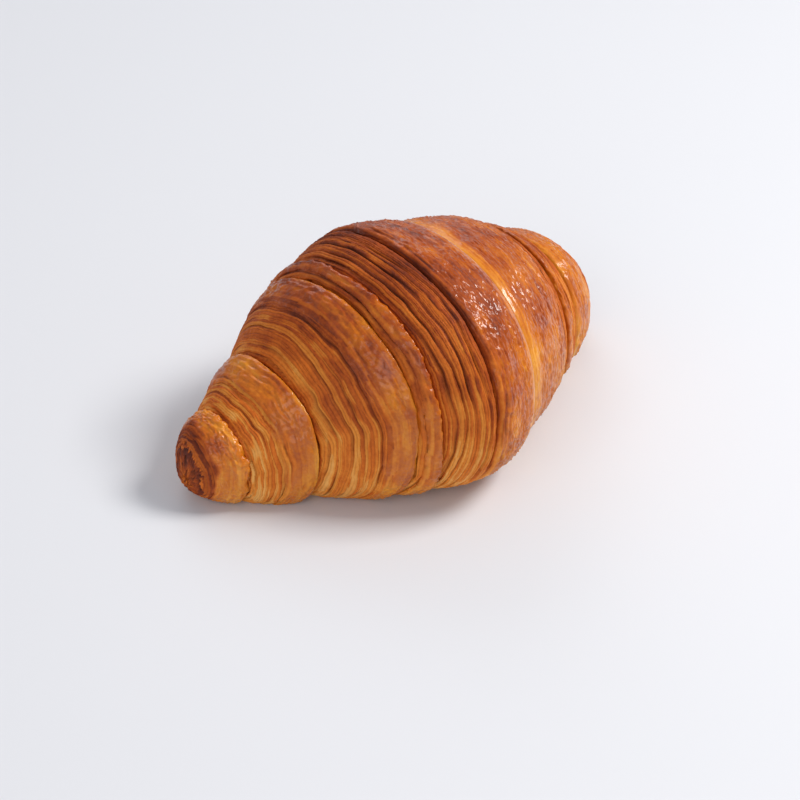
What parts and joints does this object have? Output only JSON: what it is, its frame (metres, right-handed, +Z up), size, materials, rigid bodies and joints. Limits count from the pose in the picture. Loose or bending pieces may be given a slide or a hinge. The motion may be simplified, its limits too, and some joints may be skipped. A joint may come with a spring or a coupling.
{
  "type": "croissant",
  "caption": "Rolled, baked crescent pastry with stepped wraps, laminated cut edges and tapered tips, flat underneath where it rests.",
  "frame": {"origin": "bottom centre of the croissant's box, on the surface it rests on", "axes": "+X along the roll from one tip to the other, +Y from the bulging side to the side the tips curl towards, +Z up"},
  "size_m": [0.174, 0.1012, 0.0806],
  "materials": {
    "crust": null
  },
  "bodies": {
    "root": {"croissant": "crust"}
  },
  "joints": []
}
